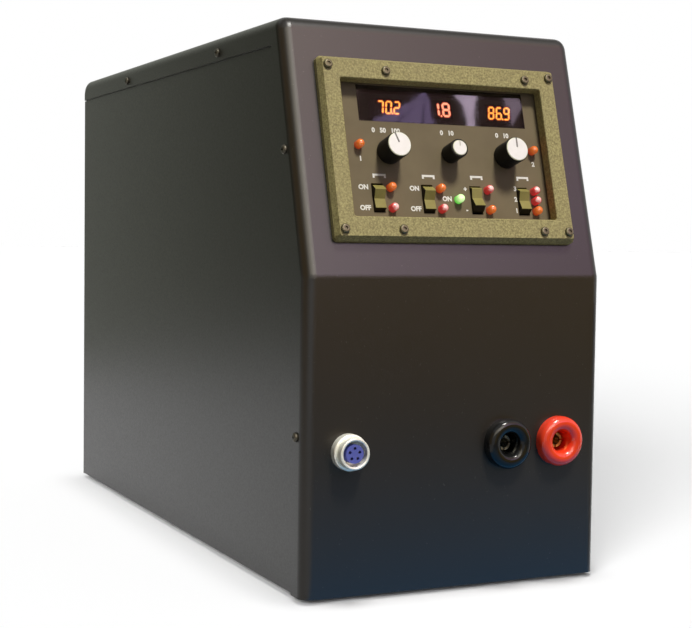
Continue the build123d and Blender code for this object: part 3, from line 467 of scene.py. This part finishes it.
# Knobs, switches, sockets and lamps
dress(
    surface("knob_plastic", (0.010, 0.010, 0.009), (0.016, 0.015, 0.013), grain=0.0005, depth=0.00003,
            gloss=(0.4, 0.55), specular=0.08),
    "knob_left", "knob_middle", "knob_right",
)
dress(rocker_plastic(), "rocker_mode", "rocker_pulse", "rocker_polarity", "rocker_bank")
dress(
    surface("switch_brown", (0.020, 0.009, 0.006), (0.032, 0.014, 0.009), grain=0.0008, depth=0.00003,
            gloss=(0.5, 0.65), specular=0.1),
    "switch_mode", "switch_pulse", "switch_polarity", "switch_bank",
)
dress(
    surface("moulded_black", (0.012, 0.012, 0.012), (0.018, 0.018, 0.017), grain=0.0008, depth=0.00003,
            gloss=(0.4, 0.55)),
    "potentiometer_left", "potentiometer_middle", "potentiometer_right",
    "inlet_body", "fuse_drawer", "power_rocker", "polarity_relay", "discharge_switch",
)
dress(
    surface("socket_black_plastic", (0.009, 0.009, 0.009), (0.013, 0.013, 0.012), grain=0.0012,
            depth=0.00001, gloss=(0.10, 0.17), specular=0.20),
    "socket_black",
)
dress(
    surface("socket_red_plastic", (0.92, 0.048, 0.014), (0.97, 0.060, 0.020), grain=0.0012, depth=0.00001,
            gloss=(0.13, 0.20), specular=0.42),
    "socket_red",
)
dress(
    lamp_plastic("lamp_red_lit", "lamps_lit", (0.36, 0.034, 0.010), (0.64, 0.145, 0.022), strength=0.55),
    "lamps_lit",
)
# Unlit lenses: their pale tip is a painted highlight, and their faint glow is painted light
dress(
    lamp_plastic("lamp_red_dark", "lamps_dark", (0.76, 0.050, 0.050), (1.0, 0.62, 0.58), strength=0.24,
                 turn=0.78),
    "lamps_dark",
)
dress(
    lamp_plastic("lamp_green", "power_lamp", (0.12, 0.58, 0.07), (0.66, 0.92, 0.44), strength=0.8, turn=0.2),
    "power_lamp",
)
dark_fill = (0.22, 0.21, 0.19)
pale_fill = (0.70, 0.69, 0.62)
for side, fill in (("left", dark_fill), ("middle", pale_fill), ("right", dark_fill)):
    dress(cap_plastic(side, fill), f"knob_cap_{side}")

# Metal fittings, boards and what is inside
dress(
    surface("brass", (0.42, 0.26, 0.075), (0.56, 0.36, 0.11), grain=0.0006, depth=0.00002,
            gloss=(0.25, 0.4), mottle=0.003, metallic=1.0),
    "socket_contact_red", "connector_contacts",
)
dress(
    surface("plated_contact", (0.16, 0.16, 0.14), (0.24, 0.24, 0.21), grain=0.0006, depth=0.00002,
            gloss=(0.2, 0.35), mottle=0.003, metallic=1.0),
    "socket_contact_black",
)
dress(
    surface("satin_nickel", (0.87, 0.87, 0.77), (0.93, 0.93, 0.84), grain=0.0006, depth=0.00001,
            gloss=(0.26, 0.38), mottle=0.004, metallic=0.25),
    "connector_shell",
)
dress(
    surface("nickel", (0.70, 0.70, 0.63), (0.78, 0.78, 0.72), grain=0.0006, depth=0.00001,
            gloss=(0.24, 0.36), mottle=0.004, metallic=1.0),
    "connector_nut", "socket_nuts", "pot_nuts", "inlet_blades",
    "board_standoffs", "main_board_standoffs", "capacitor_clamps",
)
dress(
    surface("bare_steel", (0.42, 0.42, 0.41), (0.50, 0.50, 0.49), grain=0.0008, depth=0.00002,
            gloss=(0.35, 0.5), mottle=0.004, metallic=1.0),
    "shaft_left", "shaft_middle", "shaft_right", "transformer_core",
)
dress(
    surface("insert_blue", (0.075, 0.095, 0.42), (0.10, 0.125, 0.50), grain=0.0006, depth=0.00002,
            gloss=(0.35, 0.5)),
    "connector_insert",
)
dress(
    surface("circuit_board", (0.015, 0.10, 0.035), (0.022, 0.14, 0.05), grain=0.001, depth=0.00003,
            gloss=(0.4, 0.5)),
    "panel_board", "main_board",
)
dress(
    surface("rubber", (0.014, 0.014, 0.014), (0.022, 0.022, 0.021), grain=0.0007, depth=0.00005,
            gloss=(0.65, 0.8)),
    "rubber_feet",
)
dress(
    surface("plain_aluminium", (0.60, 0.61, 0.62), (0.68, 0.69, 0.70), grain=0.001, depth=0.00002,
            gloss=(0.35, 0.5), mottle=0.01, metallic=1.0),
    "storage_capacitors", "heat_sink",
)
dress(
    surface("copper", (0.58, 0.24, 0.11), (0.68, 0.32, 0.16), grain=0.001, depth=0.00003,
            gloss=(0.3, 0.45), mottle=0.006, metallic=1.0),
    "bus_bars", "transformer_coil",
)

# Printed figures: what they say, and their place in millimetres from the foot of the middle knob's axis
figures = (
    ("0   50   100", -41.3, 13.4),
    ("0   10", 0.0, 13.6),
    ("0   10", 38.7, 13.6),
    ("1", -60.0, -4.6),
    ("2", 58.6, -4.2),
    ("ON", -60.2, -22.0),
    ("OFF", -60.2, -34.6),
    ("ON", -26.6, -22.0),
    ("OFF", -27.0, -34.6),
    ("+", 8.0, -21.6),
    ("-", 7.6, -34.5),
    ("ON", -5.2, -28.0),
    ("3", 43.2, -20.4),
    ("2", 42.8, -27.2),
    ("1", 42.6, -34.4),
)
bracket_places = ((-49.1, -14.9), (-16.4, -14.6), (16.7, -14.2), (49.4, -13.8))


def flat_text(text):
    """Mesh of a line of figures, centred on the origin in the XY plane."""
    curve = bpy.data.curves.new("text", "FONT")
    curve.body = text
    curve.size = figure_height / capital_share
    curve.offset = figure_weight
    curve.align_x = "CENTER"
    curve.align_y = "CENTER"
    curve.resolution_u = 3
    words = bpy.data.objects.new("text", curve)
    mesh = bpy.data.meshes.new_from_object(words)
    bpy.data.objects.remove(words)
    bpy.data.curves.remove(curve)
    return mesh


def flat_bracket():
    """Mesh of a line with a short tick down at each end, in the XY plane."""
    half = bracket_width / 2
    inner = half - bracket_line
    low = -bracket_tick
    top = bracket_line
    corners = [
        (-half, low, 0), (-inner, low, 0), (-inner, 0, 0), (inner, 0, 0),
        (inner, low, 0), (half, low, 0), (half, top, 0), (-half, top, 0),
    ]
    mesh = bpy.data.meshes.new("bracket")
    mesh.from_pydata(corners, [], [range(len(corners))])
    return mesh


def panel_marks():
    """White figures and brackets printed on the control panel, in one piece."""
    turned = Matrix((across, up_slope, outward)).transposed().to_4x4()
    printed = [(flat_text(text), right, up) for text, right, up in figures]
    printed += [(flat_bracket(), right, up) for right, up in bracket_places]
    marks = bmesh.new()
    for mesh, right, up in printed:
        mesh.transform(Matrix.Translation(panel_point(right * mm, up * mm, ink_relief)) @ turned)
        marks.from_mesh(mesh)
        bpy.data.meshes.remove(mesh)
    whole = bpy.data.meshes.new("panel_marks")
    marks.to_mesh(whole)
    marks.free()
    whole.materials.append(
        surface("white_ink", (0.80, 0.78, 0.71), (0.88, 0.86, 0.80), grain=0.0006, depth=0.00001,
                gloss=(0.45, 0.6), mottle=0.002, specular=0.1)
    )
    made = bpy.data.objects.new("panel_marks", whole)
    bpy.context.scene.collection.objects.link(made)
    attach(made, "cabinet")


def grown(corners, by):
    """Corners of a flat outline moved outwards by a distance, in the control panel's plane."""
    moved = []
    for index, corner in enumerate(corners):
        before = (corner - corners[index - 1]).normalized().cross(outward)
        after = (corners[(index + 1) % len(corners)] - corner).normalized().cross(outward)
        moved.append(corner + (before + after) * by / (1 + before.dot(after)))
    return moved


def digit_halo():
    """Red glow on the modules' faces, a little wider than each lit segment."""
    segments = bmesh.new()
    segments.from_mesh(nodes["digit_segments"].data)
    bmesh.ops.remove_doubles(segments, verts=segments.verts, dist=weld_distance)
    bmesh.ops.dissolve_limit(segments, angle_limit=flat_angle, verts=segments.verts, edges=segments.edges)
    segments.normal_update()
    face = max((vertex.co - panel_point()).dot(outward) for vertex in nodes["digit_modules"].data.vertices)
    halo = bmesh.new()
    for segment in segments.faces:
        if segment.normal.dot(outward) > facing_out:
            level = (face + halo_relief - (segment.verts[0].co - panel_point()).dot(outward)) * outward
            corners = grown([vertex.co + level for vertex in segment.verts], halo_width)
            halo.faces.new([halo.verts.new(corner) for corner in corners])
    segments.free()
    mesh = bpy.data.meshes.new("digit_halo")
    halo.to_mesh(mesh)
    halo.free()
    mesh.materials.append(halo_glow())
    made = bpy.data.objects.new("digit_halo", mesh)
    bpy.context.scene.collection.objects.link(made)
    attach(made, "cabinet")


def seen_directly(tree):
    """One where the camera, a reflection or a see-through piece looks at the surface, and otherwise none."""
    path = node(tree, "ShaderNodeLightPath")
    through = sums(tree, "MAXIMUM", path.outputs["Is Camera Ray"], path.outputs["Is Transmission Ray"])
    return sums(tree, "MAXIMUM", through, path.outputs["Is Glossy Ray"])


def floor():
    """A wide pale floor that the unit stands on: white where a ray sees it, dimmer as a source of light."""
    half = floor_size / 2
    corners = [(-half, -half, 0), (half, -half, 0), (half, half, 0), (-half, half, 0)]
    mesh = bpy.data.meshes.new("floor")
    mesh.from_pydata(corners, [], [range(len(corners))])
    made = bpy.data.objects.new("floor", mesh)
    bpy.context.scene.collection.objects.link(made)
    look, tree = empty_material("floor")
    pale = node(tree, "ShaderNodeBsdfDiffuse", {"Color": rgba([floor_white] * 3)})
    dim = node(tree, "ShaderNodeBsdfDiffuse", {"Color": rgba([floor_shade] * 3)})
    lift = node(tree, "ShaderNodeEmission", {"Color": rgba((1.0, 1.0, 1.0)), "Strength": floor_lift})
    white = node(tree, "ShaderNodeAddShader", {0: pale.outputs["BSDF"], 1: lift.outputs["Emission"]})
    shown = node(tree, "ShaderNodeMixShader", {
        0: seen_directly(tree), 1: dim.outputs["BSDF"], 2: white.outputs["Shader"]})
    close(tree, shown.outputs["Shader"])
    mesh.materials.append(look)
    return made


def world():
    """Even soft light, with a white background where a ray sees it."""
    made = bpy.data.worlds.new("studio")
    bpy.context.scene.world = made
    made.use_nodes = True
    tree = made.node_tree
    tree.nodes.clear()
    lamp = node(tree, "ShaderNodeBackground", {"Color": rgba((1.0, 1.0, 1.0)), "Strength": world_light})
    white = node(tree, "ShaderNodeBackground", {
        "Color": rgba((1.0, 1.0, 1.0)), "Strength": background_white})
    mixed = node(tree, "ShaderNodeMixShader", {
        0: seen_directly(tree), 1: lamp.outputs["Background"], 2: white.outputs["Background"]})
    node(tree, "ShaderNodeOutputWorld", {"Surface": mixed.outputs["Shader"]})


def sunlight(name, towards, strength, angle, colour, ground, ground_state):
    """A far lamp that lights only the floor, or all but the floor."""
    lamp = bpy.data.lights.new(name, "SUN")
    lamp.energy = strength
    lamp.angle = angle
    lamp.color = colour
    made = bpy.data.objects.new(name, lamp)
    bpy.context.scene.collection.objects.link(made)
    made.rotation_euler = Vector(towards).to_track_quat("Z", "Y").to_euler()
    lit = bpy.data.collections.new(f"{name}_lit")
    lit.objects.link(ground)
    lit.collection_objects[0].light_linking.link_state = ground_state
    made.light_linking.receiver_collection = lit


def card(name, corners, strength, first, last=None, axis="X", fade=0.5):
    """Studio card that shows only in gloss; its colour can turn into another along X or Y at its middle."""
    mesh = bpy.data.meshes.new(name)
    mesh.from_pydata(corners, [], [range(len(corners))])
    made = bpy.data.objects.new(name, mesh)
    bpy.context.scene.collection.objects.link(made)
    look, tree = empty_material(name)
    apart = node(tree, "ShaderNodeSeparateXYZ", {"Vector": place_of(tree)})
    reach = [corner["XYZ".index(axis)] for corner in corners]
    middle = (min(reach) + max(reach)) / 2
    half = (max(reach) - min(reach)) * fade
    share = spread(tree, apart.outputs[axis], 0.0, 1.0, start=middle - half, end=middle + half)
    light = node(tree, "ShaderNodeEmission", {
        "Color": blend(tree, share, first, last or first), "Strength": strength})
    close(tree, light.outputs["Emission"])
    mesh.materials.append(look)
    made.visible_camera = False
    made.visible_diffuse = False
    made.visible_transmission = False
    made.visible_shadow = False


def standing(left, right, y, low, high):
    """Corners of an upright rectangle across Y."""
    return [(left, y, low), (right, y, low), (right, y, high), (left, y, high)]


def upright_card(name, face, normal, distance, half_width, low, high, strength, colours, fade=0.5):
    """Card that stands upright across the camera's mirrored view of a place on a flat face."""
    sight = (face - camera_place).normalized()
    ray = sight - 2 * sight.dot(normal) * normal
    centre = face + ray * distance
    level = Vector((-ray.y, ray.x, 0.0)).normalized() * half_width
    corners = [
        (centre.x - level.x, centre.y - level.y, low), (centre.x + level.x, centre.y + level.y, low),
        (centre.x + level.x, centre.y + level.y, high), (centre.x - level.x, centre.y - level.y, high),
    ]
    card(name, corners, strength, *colours, fade=fade)


def window_card(name, outline, distance, strength, colour):
    """Card that the display window mirrors to the camera, inside an outline on the panel in millimetres."""
    foot = panel_point()
    mirrored = camera_place - 2 * (camera_place - foot).dot(outward) * outward
    corners = []
    for across_by, up_by in outline:
        point = panel_point(across_by * mm, up_by * mm)
        corners.append(point + (point - mirrored).normalized() * distance)
    card(name, corners, strength, first=colour)


def floor_card(name, near, far, left, right, far_colour, near_colour):
    """Card that lies on the floor ahead of the unit, between two distances from its front."""
    corners = [
        (left, cover_low.y - far, floor_card_rise), (right, cover_low.y - far, floor_card_rise),
        (right, cover_low.y - near, floor_card_rise), (left, cover_low.y - near, floor_card_rise),
    ]
    card(name, corners, strength=1.0, first=far_colour, last=near_colour, axis="Y")


def paint_cards():
    """Upright and lying cards that the cabinet's paint mirrors."""
    slope = panel_point()
    front = Vector((0.0, cover_low.y, front_aim_height))
    side = Vector((cover_low.x, 0.0, side_aim_height))
    corner = Vector((cover_low.x, cover_low.y, cover_high.z - corner_aim_drop))
    corner_facing = (outward - across * math.tan(corner_turn)).normalized()
    upright_card(
        "slope_card_low", slope, outward, distance=1.4, half_width=0.85, low=0.42, high=slope_cards_meet,
        strength=5.1, colours=((0.95, 0.71, 1.0), (0.42, 0.27, 0.40)), fade=0.14,
    )
    upright_card(
        "slope_card_high", slope, outward, distance=1.4, half_width=0.85, low=slope_cards_meet, high=1.85,
        strength=5.2, colours=((1.0, 0.74, 0.68), (0.43, 0.28, 0.25)), fade=0.14,
    )
    upright_card(
        "side_card", side, Vector((-1.0, 0.0, 0.0)), distance=1.2, half_width=1.3, low=0.0, high=1.6,
        strength=0.48, colours=((0.16, 0.17, 0.09), (1.2, 1.26, 1.1)), fade=0.1,
    )
    upright_card(
        "front_card", front, Vector((0.0, -1.0, 0.0)), distance=1.0, half_width=0.8, low=0.0, high=0.50,
        strength=0.7, colours=((1.0, 0.62, 0.0),),
    )
    upright_card(
        "corner_card", corner, corner_facing, distance=1.3, half_width=0.62, low=0.60, high=1.4,
        strength=9.5, colours=((0.55, 0.50, 0.40), (1.0, 0.93, 0.82)), fade=0.2,
    )
    left_corners = [
        (left_card_x, left_card_near, 0.0), (left_card_x, left_card_far, 0.0),
        (left_card_x, left_card_far, left_card_top), (left_card_x, left_card_near, left_card_top),
    ]
    card("left_card", left_corners, strength=1.0, first=(0.62, 0.38, 0.10))
    floor_card(
        "floor_card_near", near=0.001, far=near_card_end, left=cover_low.x, right=0.28,
        far_colour=near_card_end_colour, near_colour=(0.12, 0.66, 1.40),
    )
    floor_card(
        "floor_card_middle", near=near_card_end, far=middle_card_end, left=-0.3, right=1.0,
        far_colour=middle_card_end_colour, near_colour=near_card_end_colour,
    )
    floor_card(
        "floor_card_far", near=middle_card_end, far=far_card_end, left=-0.3, right=1.0,
        far_colour=(0.10, 0.0, 0.0), near_colour=middle_card_end_colour,
    )


def flags():
    """Dim cards that keep the bright ones ahead of the unit off its top and right side, seen from behind."""
    top_corners = standing(
        left=-top_flag_reach, right=top_flag_reach, y=cover_low.y + top_flag_setback,
        low=cover_high.z + top_flag_gap, high=top_flag_top,
    )
    card("top_flag", top_corners, strength=0.4, first=flag_colour)
    right_corners = standing(
        left=cover_high.x + side_flag_gap, right=side_flag_reach, y=cover_low.y - side_flag_gap,
        low=0.0, high=side_flag_top,
    )
    card("right_flag", right_corners, strength=0.3, first=flag_colour)


def window_cards():
    """Cards that the display window mirrors: a dim one all over, and brighter shapes in front of it."""
    window_card("window_dim", (
        (-60, 15), (60, 15), (60, 46), (-60, 46),
    ), distance=1.0, strength=0.28, colour=(0.9, 0.5, 0.4))
    window_card("window_peak", (
        (-49.1, 17), (-7, 17), (-9.5, 24.8), (-9, 33.7),
        (-12.3, 40.6), (-20.7, 33.1), (-27.9, 30.2), (-49.1, 19.7),
    ), distance=0.9, strength=3.0, colour=(0.74, 0.54, 1.0))
    window_card("window_fold", (
        (-12.3, 38), (-14.5, 17), (-17.5, 17),
    ), distance=0.85, strength=1.5, colour=(0.70, 0.50, 1.0))
    window_card("window_crease", (
        (-17, 32), (-33, 17), (-38, 17),
    ), distance=0.85, strength=1.7, colour=(0.70, 0.50, 1.0))
    window_card("window_tall", (
        (7.7, 39.8), (13.7, 32.4), (14.9, 26), (15.3, 16),
        (20.3, 16), (20.6, 26.3), (23.3, 35.5), (25, 40.5),
    ), distance=0.9, strength=8.5, colour=(0.98, 0.78, 1.0))
    window_card("window_edge", (
        (43.1, 39.2), (46.5, 27.6), (46.8, 19.8), (56.1, 33.3), (54.8, 39.2),
    ), distance=0.9, strength=3.4, colour=(0.95, 0.72, 0.92))


def camera():
    """The photograph's viewpoint."""
    made = bpy.data.objects.new("camera", bpy.data.cameras.new("camera"))
    bpy.context.scene.collection.objects.link(made)
    made.data.lens = camera_lens
    made.data.sensor_width = camera_sensor
    ahead = Vector((math.sin(camera_turn) * math.cos(camera_dip),
                    math.cos(camera_turn) * math.cos(camera_dip),
                    -math.sin(camera_dip)))
    level = Vector((math.cos(camera_turn), -math.sin(camera_turn), 0.0))
    upright = level.cross(ahead)
    right = level * math.cos(camera_roll) + upright * math.sin(camera_roll)
    up = upright * math.cos(camera_roll) - level * math.sin(camera_roll)
    turned = Matrix((right, up, -ahead)).transposed().to_4x4()
    made.matrix_world = Matrix.Translation(camera_place) @ turned
    bpy.context.scene.camera = made


panel_marks()
digit_halo()
ground = floor()
world()
sunlight("key", key_from, key_strength, key_spread, key_colour, ground, "EXCLUDE")
sunlight("floor_lamp", floor_lamp_from, floor_lamp_strength, floor_lamp_spread, floor_lamps_colour, ground,
         "INCLUDE")
sunlight("top_lamp", top_lamp_from, top_lamp_strength, top_lamp_spread, floor_lamps_colour, ground,
         "INCLUDE")
paint_cards()
flags()
window_cards()
camera()

bpy.context.scene.view_settings.view_transform = "Standard"
